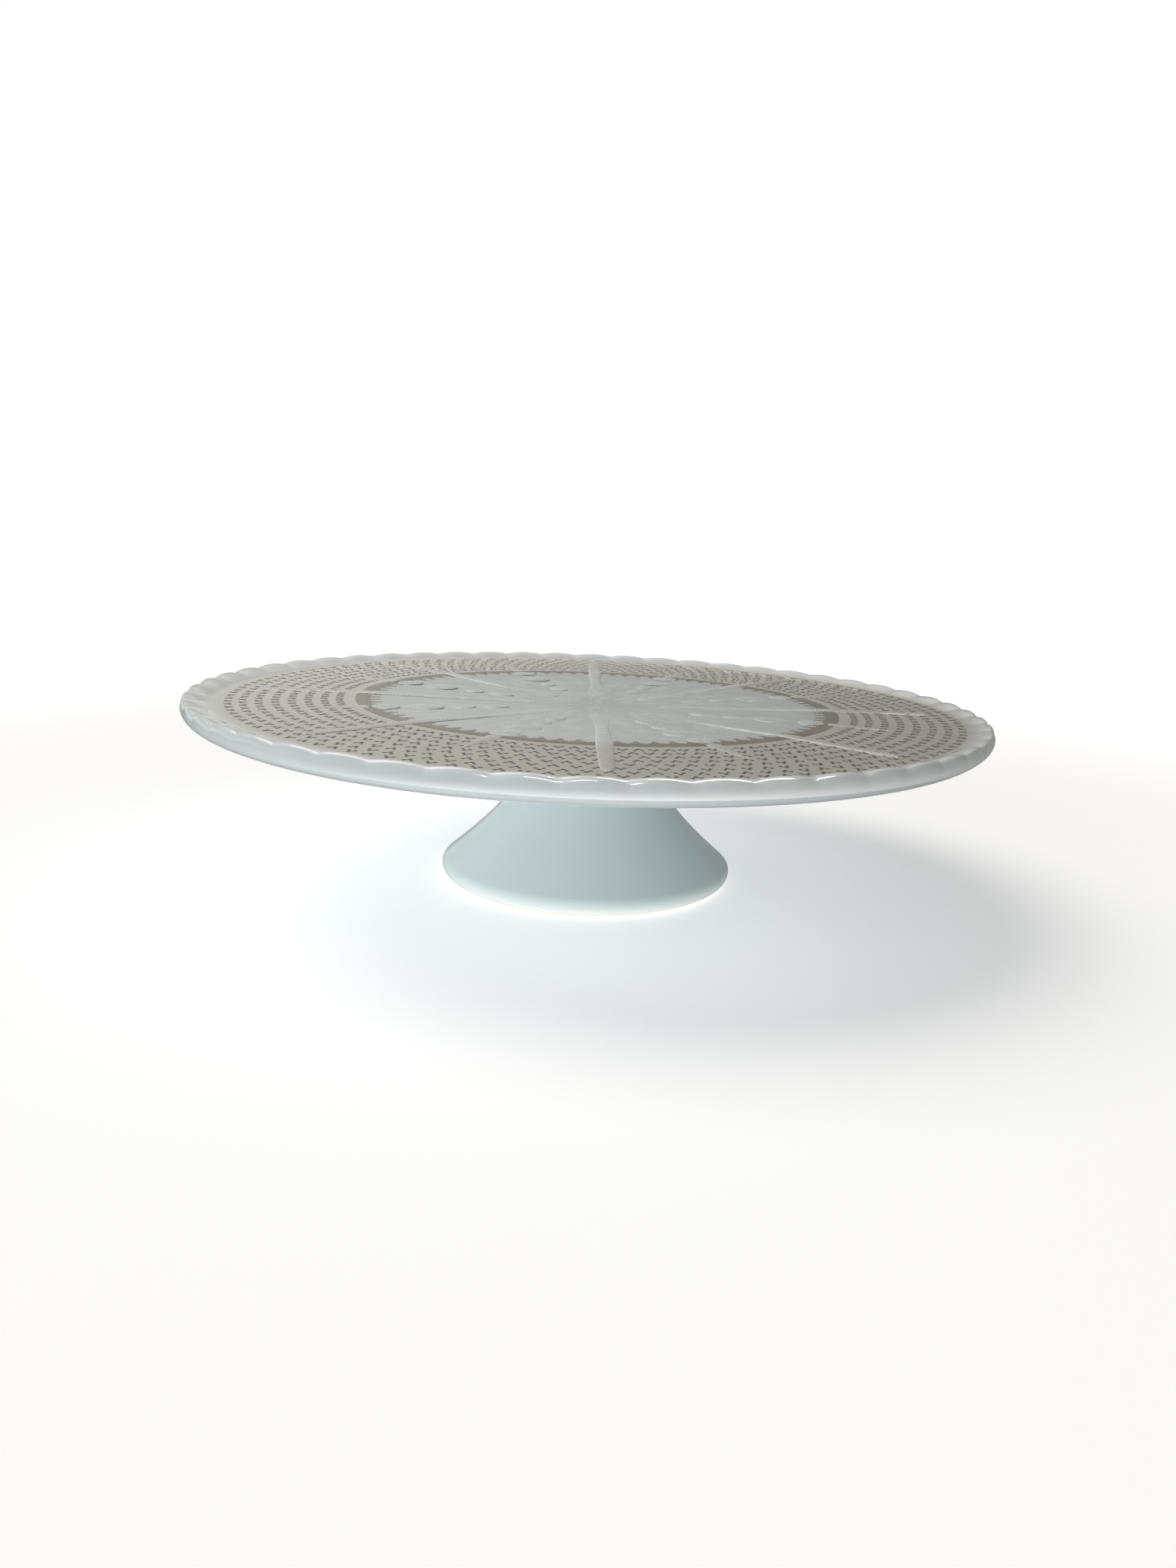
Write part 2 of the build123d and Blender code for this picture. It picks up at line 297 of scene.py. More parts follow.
def makePlateGlaze():
    s = plateGlaze
    finish, tree = newFinish("glazedPorcelain")
    place = addNode(tree, "ShaderNodeTexCoord")
    centred = addNode(
        tree,
        "ShaderNodeMapping",
        {"Location": (-s["printShift"] * mm, 0, 0)},
        {"Vector": place.outputs["Object"]},
    )
    flat = addNode(
        tree, "ShaderNodeVectorMath", {1: (1, 1, 0)}, {0: centred.outputs[0]}, operation="MULTIPLY"
    )
    radius = addNode(tree, "ShaderNodeVectorMath", links={0: flat.outputs[0]}, operation="LENGTH")
    share = addNode(
        tree, "ShaderNodeMath", {1: s["reach"] * mm}, {0: radius.outputs["Value"]}, operation="DIVIDE"
    )
    # a hand-laid wash is uneven, so its edge wanders by a fraction of a millimetre
    cloud = addNode(
        tree,
        "ShaderNodeTexNoise",
        {"Scale": 1 / (s["waveSize"] * mm), "Detail": 3.0, "Roughness": 0.55},
        {"Vector": place.outputs["Object"]},
    )
    full = s["reach"]
    zones = addNode(
        tree,
        "ShaderNodeValToRGB",
        links={"Fac": share.outputs[0]},
        stops=[
            (0.0, s["hub"]),
            (s["hubEdge"] / full, s["hub"]),
            ((s["hubEdge"] + s["hubFade"]) / full, s["well"]),
            (s["wellEdge"] / full, s["well"]),
            ((s["wellEdge"] + s["sharpEdge"]) / full, s["ground"]),
            (s["groundEdge"] / full, s["ground"]),
            # outwards from here: grey painted shade on the inner wall, the crest painted lighter as light,
            # then the outside painted darker as shade
            ((s["groundEdge"] + s["softEdge"]) / full, s["band"]),
            (s["bandEdge"] / full, s["rim"]),
            (s["crestEdge"] / full, s["rim"]),
            ((s["crestEdge"] + s["softEdge"]) / full, s["body"]),
        ],
    )
    ray = addNode(tree, "ShaderNodeVectorMath", links={0: flat.outputs[0]}, operation="NORMALIZE")
    lean = addNode(
        tree,
        "ShaderNodeVectorMath",
        {1: (s["rayRepeats"],) * 3},
        {0: centred.outputs[0], 2: ray.outputs[0]},
        operation="MULTIPLY_ADD",
    )
    rays = addNode(
        tree,
        "ShaderNodeTexNoise",
        {"Scale": s["rayScale"], "Detail": 3.0, "Roughness": 0.6},
        {"Vector": lean.outputs[0]},
    )
    milky = addNode(
        tree, "ShaderNodeValToRGB", links={"Fac": rays.outputs["Fac"]}, stops=[(0.42, 0.0), (0.66, 0.75)]
    )
    inWell = addNode(
        tree,
        "ShaderNodeMapRange",
        {"From Min": s["wellEdge"] / full, "From Max": (s["wellEdge"] - s["rayFade"]) / full},
        {"Value": share.outputs[0]},
    )
    amount = addNode(
        tree,
        "ShaderNodeMath",
        links={0: milky.outputs["Color"], 1: inWell.outputs["Result"]},
        operation="MULTIPLY",
    )
    streaked = addNode(
        tree,
        "ShaderNodeMix",
        {7: linear(s["streak"])},
        {0: amount.outputs[0], 6: zones.outputs["Color"]},
        data_type="RGBA",
    )
    mottle = addNode(
        tree,
        "ShaderNodeMix",
        {0: 0.05},
        {6: streaked.outputs[2], 7: cloud.outputs["Color"]},
        data_type="RGBA",
        blend_type="SOFT_LIGHT",
    )
    parts = addNode(tree, "ShaderNodeSeparateXYZ", links={0: place.outputs["Object"]})
    above = addNode(
        tree, "ShaderNodeMath", {1: s["topSide"] * mm}, {0: parts.outputs["Z"]}, operation="GREATER_THAN"
    )
    # all below topSide takes the darker outside colour, painted shade
    colour = addNode(
        tree,
        "ShaderNodeMix",
        {6: linear(s["body"])},
        {0: above.outputs[0], 7: mottle.outputs[2]},
        data_type="RGBA",
    )
    # pinholes under the glaze, set out some six times as far apart as they are wide
    speck = addNode(
        tree,
        "ShaderNodeTexVoronoi",
        {"Scale": 1 / (s["speckSize"] * s["speckApart"] * mm)},
        {"Vector": place.outputs["Object"]},
        feature="F1",
    )
    pin = addNode(
        tree,
        "ShaderNodeValToRGB",
        links={"Fac": speck.outputs["Distance"]},
        stops=[(0.0, 0.55), (0.035, 1.0)],
    )
    spotted = addNode(
        tree,
        "ShaderNodeMix",
        {0: 0.35},
        {6: colour.outputs[2], 7: pin.outputs["Color"]},
        data_type="RGBA",
        blend_type="MULTIPLY",
    )
    gloss = addNode(
        tree,
        "ShaderNodeMapRange",
        {"From Min": 0.3, "From Max": 0.7, "To Min": 0.10, "To Max": 0.22},
        {"Value": cloud.outputs["Fac"]},
    )
    surface = {
        "IOR": 1.5,
        "Specular IOR Level": 0.5,
        "Coat Weight": 0.7,
        "Coat Roughness": 0.03,
        "Coat IOR": 1.45,
    }
    closeFinish(
        tree,
        surface,
        {"Base Color": spotted.outputs[2], "Roughness": gloss.outputs["Result"]},
        cloud.outputs["Fac"],
        0.25,
        0.06,
    )
    return finish


# frosted relief enamel: crushed white glass fused on top, grainy and half clear, with bright grains
reliefEnamel = {
    "clear": "BAB8AE",  # outside the ring the beige ground shows through
    "clearIn": "C4CBC9",
    "white": "CBCCC5",
    "whiteIn": "E0E6E4",
    "grain": 0.7,
    "patch": 5.0,
    "ring": (84.0, 100.0),
}


def makeReliefEnamel():
    s = reliefEnamel
    finish, tree = newFinish("frostedReliefEnamel")
    place = addNode(tree, "ShaderNodeTexCoord")
    grains = addNode(
        tree,
        "ShaderNodeTexVoronoi",
        {"Scale": 1 / (s["grain"] * mm), "Randomness": 1.0},
        {"Vector": place.outputs["Object"]},
        feature="F1",
    )
    patches = addNode(
        tree,
        "ShaderNodeTexNoise",
        {"Scale": 1 / (s["patch"] * mm), "Detail": 4.0, "Roughness": 0.6},
        {"Vector": place.outputs["Object"]},
    )
    blend = addNode(
        tree, "ShaderNodeMath", {1: 0.12}, {0: grains.outputs["Distance"]}, operation="MULTIPLY"
    )
    both = addNode(
        tree, "ShaderNodeMath", links={0: blend.outputs[0], 1: patches.outputs["Fac"]}, operation="ADD"
    )
    outer = addNode(
        tree,
        "ShaderNodeValToRGB",
        links={"Fac": both.outputs[0]},
        stops=[(0.35, s["clear"]), (0.85, s["white"])],
    )
    inner = addNode(
        tree,
        "ShaderNodeValToRGB",
        links={"Fac": both.outputs[0]},
        stops=[(0.35, s["clearIn"]), (0.8, s["whiteIn"])],
    )
    flat = addNode(
        tree, "ShaderNodeVectorMath", {1: (1, 1, 0)}, {0: place.outputs["Object"]}, operation="MULTIPLY"
    )
    radius = addNode(tree, "ShaderNodeVectorMath", links={0: flat.outputs[0]}, operation="LENGTH")
    outside = addNode(
        tree,
        "ShaderNodeMapRange",
        {"From Min": s["ring"][0] * mm, "From Max": s["ring"][1] * mm},
        {"Value": radius.outputs["Value"]},
        interpolation_type="SMOOTHSTEP",
    )
    shade = addNode(
        tree,
        "ShaderNodeMix",
        links={0: outside.outputs["Result"], 6: inner.outputs["Color"], 7: outer.outputs["Color"]},
        data_type="RGBA",
    )
    rough = addNode(
        tree,
        "ShaderNodeMapRange",
        {"From Min": 0.2, "From Max": 0.8, "To Min": 0.12, "To Max": 0.34},
        {"Value": grains.outputs["Distance"]},
    )
    surface = {"IOR": 1.5, "Specular IOR Level": 0.5, "Coat Weight": 0.5, "Coat Roughness": 0.06}
    closeFinish(
        tree,
        surface,
        {"Base Color": shade.outputs[2], "Roughness": rough.outputs["Result"]},
        grains.outputs["Distance"],
        0.1,
        0.04,
    )
    return finish


# ceramic transfer print: brown-olive pigment under a film of glaze, a little patchy
def makeTransferPrint(name, deep, thin, patch):
    finish, tree = newFinish(name)
    place = addNode(tree, "ShaderNodeTexCoord")
    cloud = addNode(
        tree,
        "ShaderNodeTexNoise",
        {"Scale": 1 / (patch * mm), "Detail": 3.0, "Roughness": 0.6},
        {"Vector": place.outputs["Object"]},
    )
    shade = addNode(
        tree, "ShaderNodeValToRGB", links={"Fac": cloud.outputs["Fac"]}, stops=[(0.35, deep), (0.68, thin)]
    )
    surface = {
        "Roughness": 0.22,
        "IOR": 1.5,
        "Specular IOR Level": 0.4,
        "Coat Weight": 0.3,
        "Coat Roughness": 0.05,
    }
    closeFinish(tree, surface, {"Base Color": shade.outputs["Color"]}, cloud.outputs["Fac"], 0.1, 0.02)
    return finish


# pale blue-green glaze: lighter and bluer towards the top, paler over the lip, bare biscuit on the foot ring
pedestalGlaze = {
    "high": "E6F2F6",
    "low": "E2EDED",
    "thin": "E8EEEB",  # over the lip, where the glaze draws away
    "biscuit": "D8CCB8",
    "bareBelow": 0.64,
    "lipFrom": 1.4,
    "lipTo": 5.5,
    "top": 58.0,
    "runSize": 22.0,
    "gritSize": 0.5,
}


def makePedestalGlaze():
    s = pedestalGlaze
    finish, tree = newFinish("paleCeladonGlaze")
    place = addNode(tree, "ShaderNodeTexCoord")
    parts = addNode(tree, "ShaderNodeSeparateXYZ", links={0: place.outputs["Object"]})
    height = addNode(
        tree, "ShaderNodeMath", {1: s["top"] * mm}, {0: parts.outputs["Z"]}, operation="DIVIDE"
    )
    runs = addNode(
        tree,
        "ShaderNodeTexNoise",
        {"Scale": 1 / (s["runSize"] * mm), "Detail": 3.0, "Roughness": 0.5},
        {"Vector": place.outputs["Object"]},
    )
    wander = addNode(
        tree,
        "ShaderNodeMapRange",
        {"To Min": -0.06, "To Max": 0.06},
        {"Value": runs.outputs["Fac"]},
    )
    level = addNode(
        tree, "ShaderNodeMath", links={0: height.outputs[0], 1: wander.outputs["Result"]}, operation="ADD"
    )
    depth = addNode(
        tree,
        "ShaderNodeValToRGB",
        links={"Fac": level.outputs[0]},
        stops=[
            (s["lipFrom"] / s["top"], s["thin"]),
            (s["lipTo"] / s["top"], s["low"]),
            (0.5, s["low"]),
            (0.95, s["high"]),
        ],
    )
    grit = addNode(
        tree,
        "ShaderNodeTexNoise",
        {"Scale": 1 / (s["gritSize"] * mm), "Detail": 2.0},
        {"Vector": place.outputs["Object"]},
    )
    glazed = addNode(
        tree,
        "ShaderNodeMath",
        {1: s["bareBelow"] * mm},
        {0: parts.outputs["Z"]},
        operation="GREATER_THAN",
    )
    clay = addNode(
        tree,
        "ShaderNodeValToRGB",
        links={"Fac": grit.outputs["Fac"]},
        stops=[(0.3, "C4B79F"), (0.7, s["biscuit"])],
    )
    colour = addNode(
        tree,
        "ShaderNodeMix",
        links={0: glazed.outputs[0], 6: clay.outputs["Color"], 7: depth.outputs["Color"]},
        data_type="RGBA",
    )
    rough = addNode(
        tree,
        "ShaderNodeMapRange",
        {"To Min": 0.85, "To Max": 0.16},
        {"Value": glazed.outputs[0]},
    )
    wave = addNode(
        tree,
        "ShaderNodeMix",
        {},
        {0: glazed.outputs[0], 2: grit.outputs["Fac"], 3: runs.outputs["Fac"]},
        data_type="FLOAT",
    )
    surface = {"IOR": 1.5, "Specular IOR Level": 0.45}
    closeFinish(
        tree,
        surface,
        {"Base Color": colour.outputs[2], "Roughness": rough.outputs["Result"]},
        wave.outputs[0],
        0.2,
        0.08,
    )
    return finish


# metals and rubbers of the fastening
def makeTurnedMetal(name, light, dark, roughFrom, roughTo, ringSize, depth):
    # turned or rolled: fine rings round the axis catch the light as thin lines
    finish, tree = newFinish(name)
    place = addNode(tree, "ShaderNodeTexCoord")
    rings = addNode(
        tree,
        "ShaderNodeTexWave",
        {"Scale": 1 / (ringSize * 6 * mm), "Distortion": 1.5, "Detail": 2.0},
        {"Vector": place.outputs["Object"]},
        wave_type="RINGS",
        rings_direction="Z",
    )
    cloud = addNode(
        tree,
        "ShaderNodeTexNoise",
        {"Scale": 1 / (4 * mm), "Detail": 4.0},
        {"Vector": place.outputs["Object"]},
    )
    shade = addNode(
        tree, "ShaderNodeValToRGB", links={"Fac": cloud.outputs["Fac"]}, stops=[(0.3, dark), (0.7, light)]
    )
    rough = addNode(
        tree,
        "ShaderNodeMapRange",
        {"To Min": roughFrom, "To Max": roughTo},
        {"Value": cloud.outputs["Fac"]},
    )
    closeFinish(
        tree,
        {"Metallic": 1.0},
        {"Base Color": shade.outputs["Color"], "Roughness": rough.outputs["Result"]},
        rings.outputs["Fac"],
        0.3,
        depth,
    )
    return finish


def makeCastZinc():
    # die-cast zinc, bright passivated: soft, slightly uneven shine with fine grain
    finish, tree = newFinish("castZincPassivated")
    place = addNode(tree, "ShaderNodeTexCoord")
    grain = addNode(
        tree,
        "ShaderNodeTexNoise",
        {"Scale": 1 / (0.6 * mm), "Detail": 5.0, "Roughness": 0.65},
        {"Vector": place.outputs["Object"]},
    )
    patches = addNode(
        tree,
        "ShaderNodeTexNoise",
        {"Scale": 1 / (7 * mm), "Detail": 3.0},
        {"Vector": place.outputs["Object"]},
    )
    shade = addNode(
        tree,
        "ShaderNodeValToRGB",
        links={"Fac": patches.outputs["Fac"]},
        stops=[(0.3, "9EA2A4"), (0.7, "C2C6C8")],
    )
    rough = addNode(
        tree,
        "ShaderNodeMapRange",
        {"From Min": 0.3, "From Max": 0.7, "To Min": 0.3, "To Max": 0.48},
        {"Value": grain.outputs["Fac"]},
    )
    closeFinish(
        tree,
        {"Metallic": 1.0},
        {"Base Color": shade.outputs["Color"], "Roughness": rough.outputs["Result"]},
        grain.outputs["Fac"],
        0.3,
        0.05,
    )
    return finish


def makeRubber(name, light, dark, roughness, specular):
    # moulded rubber: satin to matt, with a dusting of fine grain
    finish, tree = newFinish(name)
    place = addNode(tree, "ShaderNodeTexCoord")
    grain = addNode(
        tree,
        "ShaderNodeTexNoise",
        {"Scale": 1 / (0.5 * mm), "Detail": 4.0, "Roughness": 0.6},
        {"Vector": place.outputs["Object"]},
    )
    shade = addNode(
        tree, "ShaderNodeValToRGB", links={"Fac": grain.outputs["Fac"]}, stops=[(0.3, dark), (0.7, light)]
    )
    rough = addNode(
        tree,
        "ShaderNodeMapRange",
        {"To Min": roughness - 0.08, "To Max": roughness + 0.08},
        {"Value": grain.outputs["Fac"]},
    )
    closeFinish(
        tree,
        {"IOR": 1.45, "Specular IOR Level": specular},
        {"Base Color": shade.outputs["Color"], "Roughness": rough.outputs["Result"]},
        grain.outputs["Fac"],
        0.25,
        0.03,
    )
    return finish


porcelain = makePlateGlaze()
enamel = makeReliefEnamel()
sprigInk = makeTransferPrint("sprigTransferPrint", "3A3323", "574C36", 6.0)
ringInk = makeTransferPrint("ringTransferPrint", "55472B", "786442", 9.0)
celadon = makePedestalGlaze()
brass = makeTurnedMetal("turnedBrass", "C9A866", "A88847", 0.22, 0.38, 0.4, 0.02)
rolledSteel = makeTurnedMetal("rolledZincSteel", "B4B8BA", "8E9396", 0.28, 0.42, 0.5, 0.01)
washerSteel = makeTurnedMetal("stampedZincSteel", "BCC0C2", "969B9E", 0.25, 0.4, 0.5, 0.02)
castZinc = makeCastZinc()
blackRubber = makeRubber("blackWasherRubber", "2A2A2B", "161617", 0.7, 0.3)
clearSilicone = makeRubber("clearSilicone", "DDE0DE", "C9CDCB", 0.42, 0.5)
print("materials ready")


# serving plate: one lobe of the turned body, copied round the axis

plateLow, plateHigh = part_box("serving_plate")
plateShape = {
    "radius": plateHigh.x / mm,
    "top": plateHigh.z / mm,
    "spigotEnd": plateLow.z / mm,
    "rimRise": 2.4,
    "dishRadius": 88.0,
    "dishDepth": 1.4,
    "crestInset": 1.6,
    "widestDrop": 3.2,
    "coveWidth": 9.0,
    "underWidth": 16.0,
    "underDepth": 7.6,
    "beadWidth": 22.0,
    "thickness": 7.0,
    "bossRadius": 28.0,
    "bossRun": 3.8,
    "bossTop": 59.0,
    "spigotRadius": 18.5,
    "edge": 0.5,  # rounding of the spigot's edges
    "insertFlange": (8.55, 1.2),
    "insertHole": (6.55, 13.0),
    "lobes": 52,
    "lobeTurn": -89.6,
    "lobeSteps": 12,
    "notchDown": 0.8,
    "notchIn": 0.5,
    "fluteEnd": 65.5,  # the flutes fade out down to this height
}


def floorHeight(radius):
    s = plateShape
    level = s["top"] - s["rimRise"]
    curve = (s["dishRadius"] ** 2 + s["dishDepth"] ** 2) / (2 * s["dishDepth"])
    return level - s["dishDepth"] + radius**2 / (2 * curve) if radius < s["dishRadius"] else level


def plateRows():
    s = plateShape
    crest, floorEdge = s["radius"] - s["crestInset"], s["radius"] - s["crestInset"] - s["coveWidth"]
    floorZ, widest = s["top"] - s["rimRise"], s["top"] - s["widestDrop"]
    lowR, lowZ = s["radius"] - s["underWidth"], widest - s["underDepth"]
    underZ = floorZ - s["thickness"]
    rows = [(0.0, floorHeight(0))]
    rows += [(r, floorHeight(r)) for r in (3, 8, 14, 21, 28, 35, 42, 49, 56, 63, 70, 76, 82, 88)]
    rows += [(r, floorZ) for r in (96, 106, 117, 128, 136, floorEdge)]
    rows += easeRow((floorEdge, floorZ), (crest, s["top"]), 12)
    rows += arcRow((crest, widest), (s["crestInset"], s["widestDrop"]), 90, 0, 8)
    rows += arcRow((lowR, widest), (s["underWidth"], s["underDepth"]), 0, -90, 18)
    rows += easeRow((lowR, lowZ), (lowR - s["beadWidth"], underZ), 10)
    rows += lineRow(rows[-1], (s["bossRadius"] + s["bossRun"], underZ), 5)
    rows += arcRow((s["bossRadius"] + s["bossRun"], s["bossTop"]), (s["bossRun"],) * 2, 90, 180, 6)
    rows += [(s["spigotRadius"] + s["edge"], s["bossTop"]), (s["spigotRadius"], s["bossTop"] - s["edge"])]
    rows += [(s["spigotRadius"], s["spigotEnd"] + s["edge"])]
    rows += arcRow(
        (s["spigotRadius"] - s["edge"], s["spigotEnd"] + s["edge"]), (s["edge"],) * 2, 0, -90, 3
    )
    flangeR, flangeZ = s["insertFlange"]
    holeR, holeZ = s["insertHole"]
    rows += [(flangeR, s["spigotEnd"]), (flangeR, s["spigotEnd"] + flangeZ)]
    rows += [(holeR, s["spigotEnd"] + flangeZ), (holeR, s["spigotEnd"] + holeZ)]
    rows += [(0.0, s["spigotEnd"] + holeZ)]
    return rows


def makeServingPlate():
    s = plateShape
    rows = plateRows()
    plate = lineOut("servingPlate", rows)
    lobe = 360 / s["lobes"]
    bpy.ops.mesh.select_all(action="SELECT")
    bpy.ops.mesh.spin(steps=s["lobeSteps"], angle=radians(lobe), center=(0, 0, 0), axis=(0, 0, 1))
    bpy.ops.mesh.select_all(action="SELECT")
    bpy.ops.mesh.remove_doubles(threshold=0.001 * mm)
    crest, floorEdge = s["radius"] - s["crestInset"], s["radius"] - s["crestInset"] - s["coveWidth"]
    # the wavy rim: each column sinks and draws in towards the sharp valley beside its lobe
    for column in range(s["lobeSteps"] + 1):
        across = column / s["lobeSteps"] - 0.5
        dip = 1 - abs(cos(pi * across)) ** 0.9
        if dip < 0.001:
            continue
        turn = -radians(lobe) * column / s["lobeSteps"]
        for r, z in rows:
            if r <= floorEdge or z < s["fluteEnd"]:
                continue
            inside = r < crest
            share = ease((r - floorEdge) / (crest - floorEdge)) if inside else 1.0
            if not inside:
                share = ((z - s["fluteEnd"]) / (s["top"] - s["fluteEnd"])) ** 1.4
            down = s["notchDown"] * dip * share
            inward = 0.0 if inside else s["notchIn"] * dip * share
            spot = Vector((r * cos(turn), r * sin(turn), z))
            pick(lambda co: (co - spot).length < 0.01)
            out = Vector((cos(turn), sin(turn), 0))
            bpy.ops.transform.translate(value=(-out * inward - Vector((0, 0, down))) * mm)
    objectMode()
    copiesRound(plate, s["lobes"], -lobe, join=True)
    swingPiece(plate, s["lobeTurn"] + lobe / 2)
    cleanShell(plate)
    return plate


servingPlate = makeServingPlate()
finishPiece(servingPlate, "stand", porcelain, ["serving_plate"], smooth=45)


# raised enamel: long ribs, short spokes and chains of beads, low domes half sunk in the floor

reliefLayout = {
    "count": 8,
    "ribTurn": -88.8,
    "spokeTurn": -88.8 + 22.5,
    "shift": 2.4,
    "sunkTo": 42.0,
    "sunkRun": 26.0,
    "ribHeight": 0.42,
    "spokeHeight": 0.22,
    "beadHeight": 0.36,
    "ribRings": 44,
    "spokeRings": 18,
    "segments": 20,
}
# (distance from the decoration's centre, half width)
ribStations = [(24.0, 0.0), (30.0, 4.2), (42.0, 3.0), (56.0, 2.3), (92.0, 2.9), (124.0, 2.4), (131.0, 0.0)]
spokeStations = [(89.5, 0.0), (90.7, 2.8), (102.0, 2.1), (113.5, 0.0)]
# (distance, half length, half width)
beadList = [(42.0, 5.5, 3.4), (54.0, 4.2, 3.4), (69.0, 7.0, 6.0), (83.5, 5.2, 5.2)]


def halfWidth(stations, x, pointed=False):
    for (x0, w0), (x1, w1) in zip(stations, stations[1:]):
        if x0 <= x <= x1:
            share = (x - x0) / (x1 - x0)
            if w0 == 0:
                return w1 * sqrt(1 - (1 - share) ** 2)
            if w1 == 0:
                return w0 * (1 - share) if pointed else w0 * sqrt(1 - share**2)
            return w0 + (w1 - w0) * ease(share)
    return 0.0


def makeBar(name, stations, rings, height, pointed=False):
    # a ball drawn out along X: each of its rings goes to its own place, width and height
    s = reliefLayout
    bpy.ops.object.select_all(action="DESELECT")
    bpy.ops.mesh.primitive_uv_sphere_add(
        segments=s["segments"], ring_count=rings, radius=mm, rotation=(0, pi / 2, 0)
    )
    bar = bpy.context.object
    bar.name = name
    bpy.ops.object.transform_apply(location=True, rotation=True, scale=True)
    editMode(bar)
    first, last = stations[0][0], stations[-1][0]
    for ring in range(rings + 1):
        unit = cos(pi * ring / rings)
        x = (first + last) / 2 + (last - first) / 2 * unit
        wide = halfWidth(stations, x, pointed)
        tall = height * min(1.0, (wide / 1.5) ** 0.7) if wide > 0 else 0.0
        # towards the centre the glaze has drowned the relief
        tall *= 0.3 + 0.7 * ease((x - s["sunkTo"]) / s["sunkRun"])
        girth = sin(pi * ring / rings)
        pick(lambda co: abs(co.x - unit) < 1e-4 and co.length < 1.001)
        if girth > 1e-6:
            bpy.ops.transform.resize(
                value=(1, max(wide, 0.02) / girth, max(tall, 0.02) / girth), center_override=(unit * mm, 0, 0)
            )
        # picked rings leave the ball at once, so that none is found twice
        bpy.ops.transform.translate(value=((x - unit) * mm, 0, floorHeight(x) * mm))
    objectMode()
    return bar


def setOut(piece, turn):
    # the relief's own centre lies a little to one side of the plate's
    s = reliefLayout
    piece.matrix_world = Matrix.Translation((s["shift"] * mm, 0, 0))
    swingPiece(piece, turn, s["shift"])
    copiesRound(piece, s["count"], 360 / s["count"], s["shift"])
    cleanShell(piece, 0.001)


ribs = makeBar("enamelRibs", ribStations, reliefLayout["ribRings"], reliefLayout["ribHeight"])
setOut(ribs, reliefLayout["ribTurn"])
finishPiece(ribs, "stand", enamel, smooth=60)

spokes = makeBar(
    "enamelSpokes", spokeStations, reliefLayout["spokeRings"], reliefLayout["spokeHeight"], pointed=True
)
setOut(spokes, reliefLayout["spokeTurn"])
finishPiece(spokes, "stand", enamel, smooth=60)

beadPieces = []
for distance, halfLong, halfWide in beadList:
    bpy.ops.object.select_all(action="DESELECT")
    bpy.ops.mesh.primitive_uv_sphere_add(
        segments=28,
        ring_count=14,
        radius=mm,
        location=(distance * mm, 0, floorHeight(distance) * mm),
        scale=(halfLong, halfWide, reliefLayout["beadHeight"]),
    )
    bead = bpy.context.object
    bpy.ops.object.transform_apply(location=True, rotation=True, scale=True)
    beadPieces.append(bead)
beads = joinAll(beadPieces)
beads.name = "enamelBeads"
setOut(beads, reliefLayout["spokeTurn"])
finishPiece(beads, "stand", enamel, smooth=60)


# transfer print: a film laid on the floor, thick enough to stand clear of it

printLayout = {
    "shift": 2.4,
    "aboveFloor": 76.0,  # where the flat print waits before it drops on the plate
    "sink": 0.02,
    "film": 0.05,
    "around": 126,  # sprigs round each row, every second one turned inwards
    "rows": [98.0, 103.4, 109.1, 114.8, 120.5, 126.2, 131.6, 136.6],
    "dots": [(0.95, 0.0, 0.68), (-0.75, 1.25, 0.62), (-0.75, -1.25, 0.62)],  # out, across, radius
    "link": 0.16,
    "band": (88.5, 90.5, 92.3),
    "bandSteps": 360,
    "crownsAround": 88,
    "crownFoot": 88.7,
    # half outline of one crown from its foot inwards: (inwards, to the side)
    "crownLine": [
        (0.0, 3.0),
        (1.2, 2.9),
        (2.0, 2.3),
        (2.2, 1.1),
        (3.2, 1.35),
        (4.0, 0.8),
        (5.0, 0.9),
        (5.7, 0.3),
    ],
    "crownStart": 2.8,  # degrees from a rib to the first crown
    "crownFilm": 0.03,
}


def joinHere(name, pieces):
    whole = joinAll(pieces)
    whole.name = name
    bpy.ops.object.transform_apply(location=True, rotation=True, scale=True)
    return whole


def makeSprig():
    # three leaves as small discs, with two thin stems between them
    s = printLayout
    parts = []
    for out, across, radius in s["dots"]:
        bpy.ops.object.select_all(action="DESELECT")
        bpy.ops.mesh.primitive_circle_add(
            vertices=8,
            radius=radius * mm,
            fill_type="NGON",
            location=(out * mm, across * mm, s["aboveFloor"] * mm),
        )
        parts.append(bpy.context.object)
    head = Vector(s["dots"][0][:2])
    for out, across, radius in s["dots"][1:]:
        foot = Vector((out, across))
        bpy.ops.object.select_all(action="DESELECT")
        bpy.ops.mesh.primitive_plane_add(size=1)
        stem = bpy.context.object
        stem.scale = ((head - foot).length * mm, 2 * s["link"] * mm, 1)
        stem.rotation_euler = (0, 0, atan2(head.y - foot.y, head.x - foot.x))
        middle = (head + foot) / 2
        stem.location = (middle.x * mm, middle.y * mm, s["aboveFloor"] * mm)
        parts.append(stem)
    return joinHere("sprigPattern", parts)


